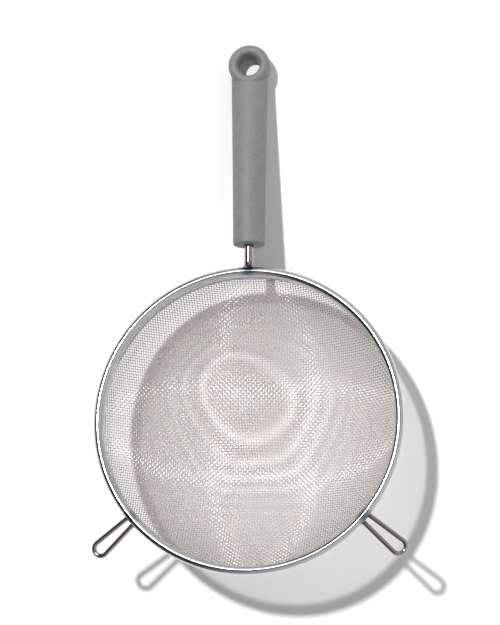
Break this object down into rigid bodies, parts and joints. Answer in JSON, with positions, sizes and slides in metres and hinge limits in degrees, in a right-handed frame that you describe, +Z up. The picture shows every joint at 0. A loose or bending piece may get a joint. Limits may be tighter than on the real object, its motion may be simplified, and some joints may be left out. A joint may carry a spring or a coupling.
{
  "type": "mesh strainer",
  "caption": "Round wire-mesh kitchen strainer with a rolled steel rim, wire rest loops, and a grey grip that flattens towards a hanging eye.",
  "frame": {"origin": "centre of the bounding box's underside, on the table that the strainer lies on", "axes": "+Z up from the table, +Y along the handle towards the eye, +X across to the right"},
  "size_m": [0.2026, 0.3416, 0.086],
  "materials": {
    "polished_steel": "polished",
    "woven_steel": "satin wire",
    "grey_plastic": "matte"
  },
  "bodies": {
    "root": {"rim_band": "polished_steel", "rim_wire": "polished_steel", "mesh_bowl": "woven_steel", "tang": "polished_steel", "grip": "grey_plastic", "left_foot": "polished_steel", "right_foot": "polished_steel"}
  },
  "joints": []
}
